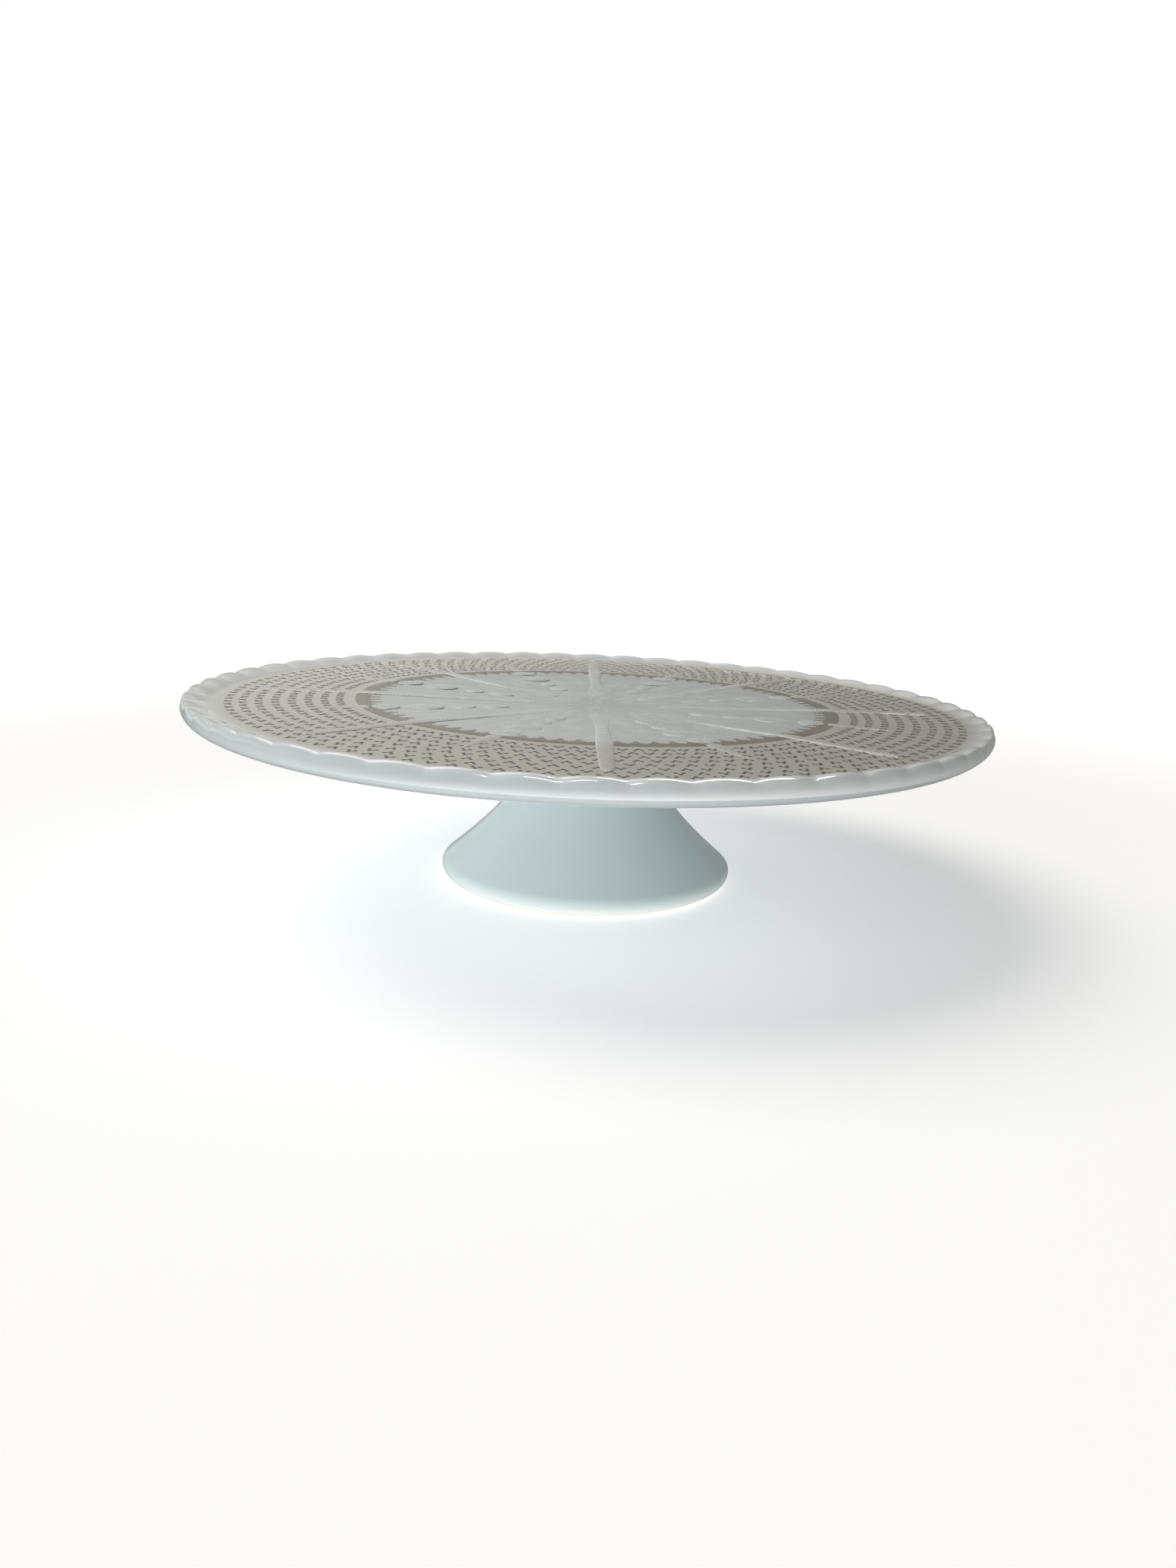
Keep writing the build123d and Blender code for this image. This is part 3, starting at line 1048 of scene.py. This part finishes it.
def makeCrown():
    # one fleur: a flat strip whose far edge is drawn inwards and set to each width in turn
    s = printLayout
    bpy.ops.object.select_all(action="DESELECT")
    bpy.ops.mesh.primitive_plane_add(size=mm)
    fleur = bpy.context.object
    fleur.name = "ringCrowns"
    editMode(fleur)
    bpy.ops.mesh.select_mode(type="VERT")
    pick(lambda co: co.x < 0)
    bpy.ops.mesh.delete(type="VERT")
    bpy.ops.mesh.select_all(action="SELECT")
    reach, wide = s["crownLine"][0]
    # the edge that is left stands half a millimetre out
    bpy.ops.transform.translate(value=((s["crownFoot"] - 0.5) * mm, 0, s["aboveFloor"] * mm))
    bpy.ops.transform.resize(value=(1, 2 * wide, 1), center_override=(0, 0, 0))
    for (reach0, wide0), (reach1, wide1) in zip(s["crownLine"], s["crownLine"][1:]):
        step = (-(reach1 - reach0) * mm, 0, 0)
        bpy.ops.mesh.extrude_region_move(TRANSFORM_OT_translate={"value": step})
        bpy.ops.transform.resize(value=(1, wide1 / wide0, 1), center_override=(0, 0, 0))
    objectMode()
    return fleur


def layOnPlate(piece, film):
    # drops the flat print straight down on the plate and gives it the thickness of its film
    s = printLayout
    applyModifier(
        piece,
        "SHRINKWRAP",
        target=servingPlate,
        wrap_method="PROJECT",
        use_project_z=True,
        use_negative_direction=True,
        use_positive_direction=False,
        offset=-s["sink"] * mm,
    )
    applyModifier(piece, "SOLIDIFY", thickness=(film + s["sink"]) * mm, offset=1.0, use_even_offset=True)


def faceUp(piece):
    # each flat island on its own may look down, so the ones that do are turned over
    editMode(piece)
    pick(lambda co, normal: normal.z < 0, faces=True)
    bpy.ops.mesh.flip_normals()
    objectMode()


pattern = makeSprig()
pitch = 360 / printLayout["around"]
sprigs = []
for index, distance in enumerate(printLayout["rows"]):
    for side in (0, 1):
        sprig = copyOf(pattern)
        flip = Matrix.Rotation(pi * ((side + index) % 2), 4, "Z")
        out = Matrix.Translation(((distance + printLayout["shift"]) * mm, 0, 0))
        sprig.matrix_world = out @ flip
        swingPiece(sprig, pitch * (side + 0.5 * (index % 2)), printLayout["shift"])
        sprigs.append(sprig)
bpy.data.objects.remove(pattern)
sprigRows = joinAll(sprigs)
sprigRows.name = "sprigPrint"
copiesRound(sprigRows, printLayout["around"] // 2, 2 * pitch, printLayout["shift"])
faceUp(sprigRows)
layOnPlate(sprigRows, printLayout["film"])
finishPiece(sprigRows, "stand", sprigInk, smooth=30)

crowns = makeCrown()
crowns.matrix_world = Matrix.Translation((printLayout["shift"] * mm, 0, 0))
swingPiece(crowns, reliefLayout["ribTurn"] + printLayout["crownStart"], printLayout["shift"])
copiesRound(crowns, printLayout["crownsAround"], 360 / printLayout["crownsAround"], printLayout["shift"])
faceUp(crowns)
layOnPlate(crowns, printLayout["crownFilm"])
finishPiece(crowns, "stand", ringInk, smooth=30)

bandRows = [(r, printLayout["aboveFloor"]) for r in printLayout["band"]]
ringBand = turnRound("ringBand", bandRows, printLayout["bandSteps"])
ringBand.matrix_world = Matrix.Translation((printLayout["shift"] * mm, 0, 0))
chooseOnly(ringBand)
bpy.ops.object.transform_apply(location=True, rotation=True, scale=True)
faceUp(ringBand)
layOnPlate(ringBand, printLayout["film"])
finishPiece(ringBand, "stand", ringInk, smooth=30)


# pedestal: a hollow flare with a web across its neck, turned as one section

pedestalLow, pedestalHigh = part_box("pedestal")
pedestalShape = {
    "radius": pedestalHigh.x / mm,
    "ring": pedestalLow.z / mm,
    "seat": pedestalHigh.z / mm,
    "ringOuter": 52.6,
    "ringInner": 45.5,
    "lip": (4.5, 4.4),
    "lipCurve": 3.4,
    "lipTurn": 50.0,
    "flarePull": 26.0,
    "neckRadius": 24.8,
    "neckHeight": 50.0,
    "seatRadius": 28.0,
    "seatRound": 1.2,
    "recess": (19.3, 7.5),
    "webHole": 4.5,
    "webUnder": 44.0,
    "hollow": [(16.0, 44.0), (20.5, 40.5), (28.2, 28.6), (34.7, 21.4), (44.0, 11.5), (45.5, 6.0)],
    "steps": 192,
    "ringRound": 0.6,
    "padCircle": 49.05,
    "padHole": 2.9,
    "padTop": 1.6,
}


def smoothThrough(points, perSpan):
    # a smooth line through the points, which leaves out the first
    found = []
    ends = [points[0]] + points + [points[-1]]
    for i in range(1, len(ends) - 2):
        a, b, c, d = ends[i - 1], ends[i], ends[i + 1], ends[i + 2]
        for step in range(1, perSpan + 1):
            t = step / perSpan
            k = (-t + 2 * t * t - t**3, 2 - 5 * t * t + 3 * t**3, t + 4 * t * t - 3 * t**3, t**3 - t * t)
            found.append(tuple(0.5 * (k[0] * a[j] + k[1] * b[j] + k[2] * c[j] + k[3] * d[j]) for j in (0, 1)))
    return found


def makePedestal():
    s = pedestalShape
    edge = s["ringRound"]
    rows = [(s["ringInner"] + edge, s["ring"])]
    rows += lineRow(rows[-1], (s["ringOuter"], s["ring"]), 4)
    lipZ = s["ring"] + s["lip"][1]
    rows += arcRow((s["ringOuter"], lipZ), s["lip"], -90, 0, 10)
    rows += arcRow((s["radius"] - s["lipCurve"], lipZ), (s["lipCurve"],) * 2, 0, s["lipTurn"], 7)
    bend = radians(s["lipTurn"])
    start = rows[-1]
    pull = (start[0] - sin(bend) * s["flarePull"], start[1] + cos(bend) * s["flarePull"])
    neck = (s["neckRadius"], s["neckHeight"])
    rows += bezierRow(start, pull, (neck[0], neck[1] - 12.0), neck, 26)
    out = s["seatRadius"] - s["neckRadius"]
    rise = s["seat"] - s["seatRound"] - s["neckHeight"]
    bulge = (out * out + rise * rise) / (2 * out)
    sweep = 180 - atan2(rise, out - bulge) * 180 / pi
    rows += arcRow((neck[0] + bulge, neck[1]), (bulge, bulge), 180, 180 - sweep, 6)
    rows += arcRow(
        (s["seatRadius"] - s["seatRound"], s["seat"] - s["seatRound"]), (s["seatRound"],) * 2, 0, 90, 5
    )
    recessR, recessDeep = s["recess"]
    recessZ = s["seat"] - recessDeep
    rows += [(recessR + 0.5, s["seat"]), (recessR, s["seat"] - 0.5), (recessR, recessZ + 1.0)]
    rows += arcRow((recessR - 1.0, recessZ + 1.0), (1.0, 1.0), 0, -90, 4)
    rows += [(s["webHole"] + 0.5, recessZ), (s["webHole"], recessZ - 0.5)]
    rows += [(s["webHole"], s["webUnder"] + 0.5), (s["webHole"] + 0.5, s["webUnder"])]
    rows += [s["hollow"][0]]
    rows += smoothThrough(s["hollow"], 7)
    rows += [(s["ringInner"], s["ring"] + edge)]
    rows += arcRow((s["ringInner"] + edge, s["ring"] + edge), (edge, edge), 180, 270, 3)[:-1]
    shell = turnRound("pedestalShell", rows + [rows[0]], s["steps"])
    # shallow recesses for the pads, cut in the foot ring
    bpy.ops.mesh.primitive_cylinder_add(
        vertices=40,
        radius=s["padHole"] * mm,
        depth=2 * s["padTop"] * mm,
        location=(s["padCircle"] * cos(pi / 4) * mm, s["padCircle"] * sin(pi / 4) * mm, 0),
    )
    cutter = bpy.context.object
    bpy.ops.object.transform_apply(location=True, rotation=True, scale=True)
    copiesRound(cutter, 4, 90)
    applyModifier(shell, "BOOLEAN", operation="DIFFERENCE", object=cutter, solver="EXACT")
    bpy.data.objects.remove(cutter)
    return shell


pedestalShell = makePedestal()
finishPiece(pedestalShell, "stand", celadon, ["pedestal"], smooth=40)


# pads, gasket and washers: small turned rings and discs with moulded or tumbled edges

softParts = {
    "padRadius": 2.8,
    "padTopRadius": 2.6,
    "padFlat": 1.4,
    "padEdge": 0.4,
    "gasketInner": 20.5,
    "gasketEdge": 0.35,
    "washerBore": 4.35,
    "rubberEdge": 0.35,
    "steelEdge": 0.3,
}


def ringLike(name, node, inner, edge, steps):
    # a ring with rounded edges, as wide and as high as the round CAD node
    boxLow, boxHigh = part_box(node)
    outer, low, high = boxHigh.x / mm, boxLow.z / mm, boxHigh.z / mm
    rows = [(inner, low + edge)]
    rows += arcRow((inner + edge, low + edge), (edge, edge), 180, 270, 3)
    rows += lineRow(rows[-1], (outer - edge, low), 2)
    rows += arcRow((outer - edge, low + edge), (edge, edge), -90, 0, 3)
    rows += [(outer, high - edge)]
    rows += arcRow((outer - edge, high - edge), (edge, edge), 0, 90, 3)
    rows += lineRow(rows[-1], (inner + edge, high), 2)
    rows += arcRow((inner + edge, high - edge), (edge, edge), 90, 180, 3)
    return turnRound(name, rows + [rows[0]], steps)


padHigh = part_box("foot_pads")[1]
padRadius, padEdge = softParts["padRadius"], softParts["padEdge"]
# barely domed underneath, so that the pad rests on its middle
padRows = [(0.0, 0.0), (softParts["padFlat"], 0.0), (padRadius - padEdge, 0.03)]
padRows += arcRow((padRadius - padEdge, padEdge), (padEdge, padEdge), -80, 0, 4)
padRows += [(padRadius, 1.4), (softParts["padTopRadius"], padHigh.z / mm), (0.0, padHigh.z / mm)]
pads = turnRound("siliconePads", padRows, 40)
pads.matrix_world = Matrix.Translation((pedestalShape["padCircle"] * mm, 0, 0))
swingPiece(pads, 45)
copiesRound(pads, 4, 90)
finishPiece(pads, "stand", clearSilicone, ["foot_pads"], smooth=35)

gasket = ringLike("gasketRing", "seat_gasket", softParts["gasketInner"], softParts["gasketEdge"], 96)
finishPiece(gasket, "stand", clearSilicone, ["seat_gasket"], smooth=35)

washerBore = softParts["washerBore"]
rubberWasher = ringLike("rubberWasher", "rubber_washer", washerBore, softParts["rubberEdge"], 72)
finishPiece(rubberWasher, "washers", blackRubber, ["rubber_washer"], smooth=35)

steelWasher = ringLike("steelWasher", "steel_washer", washerBore, softParts["steelEdge"], 72)
finishPiece(steelWasher, "washers", washerSteel, ["steel_washer"], smooth=35)


# stud: a rolled right-hand thread, one turn of its section screwed up the length

studLow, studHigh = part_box("clamp_stud")
studShape = {
    "low": studLow.z / mm,
    "high": studHigh.z / mm,
    "crest": 3.98,
    "root": 3.36,
    "pitch": 1.25,
    "flank": (0.12, 0.44, 0.58, 0.9),  # where the thread's flanks begin and end, in shares of the pitch
    "steps": 28,
    "point": 0.8,  # length of the pointed end
    "pointShare": 0.78,
}


def makeStud():
    s = studShape
    p = s["pitch"]
    start = s["low"] - p
    up, crestFrom, crestTo, down = [start + share * p for share in s["flank"]]
    rows = [(s["root"], start), (s["root"], up), (s["crest"], crestFrom)]
    rows += [(s["crest"], crestTo), (s["root"], down), (s["root"], start + p)]
    stud = lineOut("threadedStud", rows)
    objectMode()
    turns = int((s["high"] - s["low"]) / p) + 3
    applyModifier(
        stud,
        "SCREW",
        angle=2 * pi,
        screw_offset=p * mm,
        iterations=turns,
        steps=s["steps"],
        render_steps=s["steps"],
        use_merge_vertices=True,
        merge_threshold=0.002 * mm,
    )
    editMode(stud)
    bpy.ops.mesh.select_all(action="SELECT")
    bpy.ops.mesh.remove_doubles(threshold=0.002 * mm)
    for height, side in ((s["low"] + s["point"], 1), (s["high"] - s["point"], -1)):
        bpy.ops.mesh.select_all(action="SELECT")
        bpy.ops.mesh.bisect(
            plane_co=(0, 0, height * mm),
            plane_no=(0, 0, side),
            use_fill=True,
            clear_inner=True,
        )
    for height, away in ((s["low"] + s["point"], -1), (s["high"] - s["point"], 1)):
        pick(lambda co, normal: abs(co.z - height) < 0.01 and abs(normal.z) > 0.9, faces=True)
        bpy.ops.mesh.extrude_region_move(
            TRANSFORM_OT_translate={"value": (0, 0, away * s["point"] * mm)}
        )
        bpy.ops.transform.resize(value=(s["pointShare"], s["pointShare"], 1), center_override=(0, 0, 0))
    objectMode()
    cleanShell(stud)
    return stud


threadedStud = makeStud()
finishPiece(threadedStud, "stand", rolledSteel, ["clamp_stud"], smooth=30)


# wing nut: a turned hub and two drawn-out wings, fused as a casting

nutLow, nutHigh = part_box("wing_nut")
nutShape = {
    "top": nutHigh.z / mm,
    "low": nutLow.z / mm,
    "reach": nutHigh.x / mm,
    "hubHeight": 9.5,
    "hubTop": 8.0,
    "hubEnd": 6.5,
    "hubEdge": 0.6,
    "bore": 4.06,
    "cell": 0.4,
    "thick": 2.9,
}
# the wing's middle line: (out, height, half width, lean in degrees)
wingStations = [
    (3.0, 36.0, 3.6, 0),
    (7.0, 36.0, 3.7, -12),
    (10.6, 34.3, 3.6, -32),
    (13.4, 31.2, 3.7, -55),
    (15.0, 27.8, 4.1, -75),
    (15.5, 24.6, 4.2, -88),
    (15.5, 22.0, 3.2, -90),
    (15.5, 20.9, 1.4, -90),
]


def makeWing(side):
    # a thin slab whose end face is drawn out station by station, then rounded
    s = nutShape
    x, z, half, lean = wingStations[0]
    bpy.ops.object.select_all(action="DESELECT")
    bpy.ops.mesh.primitive_plane_add(size=1, rotation=(0, pi / 2, 0))
    wing = bpy.context.object
    wing.scale = (2 * half * mm, s["thick"] * mm, 1)
    wing.location = (x * mm, 0, z * mm)
    bpy.ops.object.transform_apply(location=True, rotation=True, scale=True)
    editMode(wing)
    bpy.ops.mesh.select_mode(type="FACE")
    bpy.ops.mesh.select_all(action="SELECT")
    for (x0, z0, half0, lean0), (x1, z1, half1, lean1) in zip(wingStations, wingStations[1:]):
        bpy.ops.mesh.extrude_region_move(
            TRANSFORM_OT_translate={"value": ((x1 - x0) * mm, 0, (z1 - z0) * mm)}
        )
        centre = (x1 * mm, 0, z1 * mm)
        thin = 0.92 if half1 < 3.5 else 1.0
        # back to upright, to the new width, then to the new lean
        bpy.ops.transform.rotate(value=radians(lean0), orient_axis="Y", center_override=centre)
        bpy.ops.transform.resize(value=(1, thin, half1 / half0), center_override=centre)
        bpy.ops.transform.rotate(value=-radians(lean1), orient_axis="Y", center_override=centre)
    objectMode()
    applyModifier(wing, "SUBSURF", levels=2, render_levels=2)
    cleanShell(wing)
    if side < 0:
        wing.matrix_world = Matrix.Rotation(pi, 4, "Z")
        chooseOnly(wing)
        bpy.ops.object.transform_apply(location=True, rotation=True, scale=True)
    return wing


def makeWingNut():
    s = nutShape
    low = s["top"] - s["hubHeight"]
    edge = s["hubEdge"]
    rows = [(0.0, low), (s["hubEnd"] - edge, low)]
    rows += arcRow((s["hubEnd"] - edge, low + edge), (edge, edge), -90, 0, 3)
    rows += [(s["hubTop"], s["top"] - edge)]
    rows += arcRow((s["hubTop"] - edge, s["top"] - edge), (edge, edge), 0, 90, 3)
    rows += [(0.0, s["top"])]
    hub = turnRound("castWingNut", rows, 48)
    nut = joinAll([hub, makeWing(1), makeWing(-1)])
    applyModifier(nut, "REMESH", mode="VOXEL", voxel_size=s["cell"] * mm, use_smooth_shade=True)
    applyModifier(nut, "SMOOTH", factor=0.5, iterations=4)
    bpy.ops.mesh.primitive_cylinder_add(
        vertices=48,
        radius=s["bore"] * mm,
        depth=3 * s["hubHeight"] * mm,
        location=(0, 0, (s["top"] - s["hubHeight"] / 2) * mm),
    )
    drill = bpy.context.object
    bpy.ops.object.transform_apply(location=True, rotation=True, scale=True)
    applyModifier(nut, "BOOLEAN", operation="DIFFERENCE", object=drill, solver="EXACT")
    bpy.data.objects.remove(drill)
    return nut


wingNut = makeWingNut()
finishPiece(wingNut, "nut", castZinc, ["wing_nut"], smooth=50)


# the brass insert keeps its CAD shape, which is all hidden in the plate but its flange

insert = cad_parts["plate_insert"]
for place in insert.material_slots:
    place.material = brass
if not insert.material_slots:
    insert.data.materials.append(brass)
print("finished the kept nodes")


# floor, light and camera

studio = {
    "floorRadius": 4.0,
    "floorShade": "F2F2F2",
    "floorGlow": 0.385,
    "floorBounce": 0.82,  # light from the white table on the pedestal and the plate's underside
    "whiteFrom": 0.3,
    "whiteTo": 1.2,
    "bounceFrom": 0.02,
    "bounceTo": 0.14,
    "bounceFade": 0.15,  # the table is in shade on the right
    "floorSeen": "E7E9E7",
    "floorMirror": 0.35,
    "roomLeft": "F4F5F3",  # light that falls from the left of the room
    "roomRight": "4E504E",
    "roomStrength": 0.5,
    "mirrorLeft": "D2D2CC",  # what the glaze mirrors: a plain, darker room
    "mirrorRight": "868786",
    "mirrorStrength": 1.9,
    # the mirrored room is pale along the horizon, dull above it and bright towards the ceiling
    "mirrorRise": [(0.0, 0.62), (0.1, 0.62), (0.24, 0.42), (0.5, 1.0)],
    "mirrorTurn": 0.4,  # how far to each side the mirrored room goes from its light end to its dark end
}


def makeFloor():
    bpy.ops.object.select_all(action="DESELECT")
    bpy.ops.mesh.primitive_circle_add(vertices=96, radius=studio["floorRadius"], fill_type="NGON")
    floor = bpy.context.object
    floor.name = "studioFloor"
    # matt white paint, so only soft shade shows on it; the glow is only for the eye, not for the object
    finish, tree = newFinish("paintedFloor")
    path = addNode(tree, "ShaderNodeLightPath")
    place = addNode(tree, "ShaderNodeTexCoord")
    away = addNode(tree, "ShaderNodeVectorMath", links={0: place.outputs["Object"]}, operation="LENGTH")
    # the table runs out into the white backdrop with no edge
    spread = addNode(
        tree,
        "ShaderNodeMapRange",
        {
            "From Min": studio["whiteFrom"],
            "From Max": studio["whiteTo"],
            "To Min": studio["floorGlow"],
            "To Max": 1.0,
        },
        {"Value": away.outputs["Value"]},
        interpolation_type="SMOOTHSTEP",
    )
    glow = addNode(
        tree,
        "ShaderNodeMath",
        links={0: path.outputs["Is Camera Ray"], 1: spread.outputs["Result"]},
        operation="MULTIPLY",
    )
    parts = addNode(tree, "ShaderNodeSeparateXYZ", links={0: place.outputs["Object"]})
    fade = addNode(
        tree,
        "ShaderNodeMapRange",
        {
            "From Min": studio["bounceFrom"],
            "From Max": studio["bounceTo"],
            "To Min": studio["floorBounce"],
            "To Max": studio["floorBounce"] * studio["bounceFade"],
        },
        {"Value": parts.outputs["X"]},
        interpolation_type="SMOOTHSTEP",
    )
    bounce = addNode(
        tree,
        "ShaderNodeMath",
        links={0: path.outputs["Is Diffuse Ray"], 1: fade.outputs["Result"], 2: glow.outputs[0]},
        operation="MULTIPLY_ADD",
    )
    shader = addNode(
        tree,
        "ShaderNodeBsdfPrincipled",
        {
            "Base Color": linear(studio["floorShade"]),
            "Roughness": 0.9,
            "Specular IOR Level": 0.1,
            "Emission Color": (1.0, 1.0, 1.0, 1),
        },
        {"Emission Strength": bounce.outputs[0]},
    )
    # in the glaze's mirror the floor is a dull grey
    dull = addNode(
        tree,
        "ShaderNodeEmission",
        {"Color": linear(studio["floorSeen"]), "Strength": studio["floorMirror"]},
    )
    mixed = addNode(
        tree,
        "ShaderNodeMixShader",
        links={0: path.outputs["Is Glossy Ray"], 1: shader.outputs["BSDF"], 2: dull.outputs[0]},
    )
    # from below the table is clear, so that the underside can be looked at
    side = addNode(tree, "ShaderNodeNewGeometry")
    clear = addNode(tree, "ShaderNodeBsdfTransparent")
    oneSided = addNode(
        tree,
        "ShaderNodeMixShader",
        links={0: side.outputs["Backfacing"], 1: mixed.outputs[0], 2: clear.outputs[0]},
    )
    addNode(tree, "ShaderNodeOutputMaterial", links={"Surface": oneSided.outputs[0]})
    floor.data.materials.append(finish)


def makeWorld():
    world = bpy.data.worlds.new("softStudio")
    bpy.context.scene.world = world
    world.use_nodes = True
    tree = world.node_tree
    tree.nodes.clear()
    # the room lights the object softly and is duller in its mirror image; only its backdrop is pure white
    place = addNode(tree, "ShaderNodeTexCoord")
    parts = addNode(tree, "ShaderNodeSeparateXYZ", links={0: place.outputs["Generated"]})
    side = addNode(
        tree,
        "ShaderNodeMapRange",
        {"From Min": -0.9, "From Max": 0.9},
        {"Value": parts.outputs["X"]},
        interpolation_type="SMOOTHSTEP",
    )
    sideSeen = addNode(
        tree,
        "ShaderNodeMapRange",
        {"From Min": -studio["mirrorTurn"], "From Max": studio["mirrorTurn"]},
        {"Value": parts.outputs["X"]},
        interpolation_type="SMOOTHSTEP",
    )
    lit = addNode(
        tree,
        "ShaderNodeMix",
        {6: linear(studio["roomLeft"]), 7: linear(studio["roomRight"])},
        {0: side.outputs["Result"]},
        data_type="RGBA",
    )
    seen = addNode(
        tree,
        "ShaderNodeMix",
        {6: linear(studio["mirrorLeft"]), 7: linear(studio["mirrorRight"])},
        {0: sideSeen.outputs["Result"]},
        data_type="RGBA",
    )
    room = addNode(
        tree, "ShaderNodeBackground", {"Strength": studio["roomStrength"]}, {"Color": lit.outputs[2]}
    )
    rise = addNode(
        tree, "ShaderNodeValToRGB", links={"Fac": parts.outputs["Z"]}, stops=studio["mirrorRise"]
    )
    strength = addNode(
        tree,
        "ShaderNodeMath",
        {1: studio["mirrorStrength"]},
        {0: rise.outputs["Color"]},
        operation="MULTIPLY",
    )
    mirror = addNode(
        tree,
        "ShaderNodeBackground",
        links={"Color": seen.outputs[2], "Strength": strength.outputs[0]},
    )
    backdrop = addNode(tree, "ShaderNodeBackground", {"Color": (1, 1, 1, 1), "Strength": 1.0})
    path = addNode(tree, "ShaderNodeLightPath")
    glossy = addNode(
        tree,
        "ShaderNodeMixShader",
        links={0: path.outputs["Is Glossy Ray"], 1: room.outputs[0], 2: mirror.outputs[0]},
    )
    mixed = addNode(
        tree,
        "ShaderNodeMixShader",
        links={0: path.outputs["Is Camera Ray"], 1: glossy.outputs[0], 2: backdrop.outputs[0]},
    )
    addNode(tree, "ShaderNodeOutputWorld", links={"Surface": mixed.outputs[0]})


# a wide soft sun from the upper left, which gives the shadow on the table
skyLight = {"from": (-0.55, 0.25, 1.0), "strength": 1.3, "spread": 45.0, "shade": "FFFAF4"}
# (name, place, aim, width, depth, power, colour, lights only the gloss)
lamps = [
    ("stripLamp", (0.45, -0.15, 1.15), (0, 0, 0.07), 0.05, 0.9, 18.0, "FFFFFF", True),
    ("leftLamp", (-1.1, -1.2, 0.55), (0, 0, 0.05), 1.1, 0.8, 3.0, "F6FAFF", False),
    ("frontLamp", (-0.15, -1.2, 1.1), (0, 0, 0.02), 0.5, 0.12, 4.0, "F7FBFF", True),
]


def makeLamps():
    sun = bpy.data.lights.new("skyLight", "SUN")
    sun.energy = skyLight["strength"]
    sun.angle = radians(skyLight["spread"])
    sun.color = linear(skyLight["shade"])[:3]
    lamp = bpy.data.objects.new("skyLight", sun)
    bpy.context.scene.collection.objects.link(lamp)
    lamp.rotation_mode = "QUATERNION"
    lamp.rotation_quaternion = (-Vector(skyLight["from"])).to_track_quat("-Z", "Y")
    for name, place, aim, wide, deep, power, shade, glossOnly in lamps:
        data = bpy.data.lights.new(name, "AREA")
        data.shape = "RECTANGLE"
        data.size, data.size_y = wide, deep
        data.energy = power
        data.color = linear(shade)[:3]
        lamp = bpy.data.objects.new(name, data)
        bpy.context.scene.collection.objects.link(lamp)
        lamp.location = place
        # a lamp either gives the glaze its glints or lights it, so none shows as a hard white window
        lamp.visible_diffuse = not glossOnly
        lamp.visible_glossy = glossOnly
        lamp.rotation_mode = "QUATERNION"
        lamp.rotation_quaternion = (Vector(aim) - Vector(place)).to_track_quat("-Z", "Y")


cameraSetup = {
    "back": 436.224,
    "height": 134.774,
    "pan": 0.028604,
    "tilt": 0.237114,
    "roll": 0.047291,
    "lens": 25.893,
    "shift": (-0.02025, 0.01232),
}


def makeCamera():
    s = cameraSetup
    data = bpy.data.cameras.new("viewCamera")
    camera = bpy.data.objects.new("viewCamera", data)
    bpy.context.scene.collection.objects.link(camera)
    data.sensor_width = 36.0
    data.lens = s["lens"]
    data.shift_x, data.shift_y = s["shift"]
    data.clip_start, data.clip_end = 0.01, 20.0
    ahead = Vector((sin(s["pan"]) * cos(s["tilt"]), cos(s["pan"]) * cos(s["tilt"]), -sin(s["tilt"])))
    right = Vector((cos(s["pan"]), -sin(s["pan"]), 0))
    up = right.cross(ahead)
    across = cos(s["roll"]) * right + sin(s["roll"]) * up
    upward = -sin(s["roll"]) * right + cos(s["roll"]) * up
    turn = Matrix((across, upward, -ahead)).transposed().to_4x4()
    camera.matrix_world = Matrix.Translation((0, -s["back"] * mm, s["height"] * mm)) @ turn
    bpy.context.scene.camera = camera


makeFloor()
makeWorld()
makeLamps()
makeCamera()
bpy.context.scene.view_settings.view_transform = "Standard"
print("floor, light and camera ready")
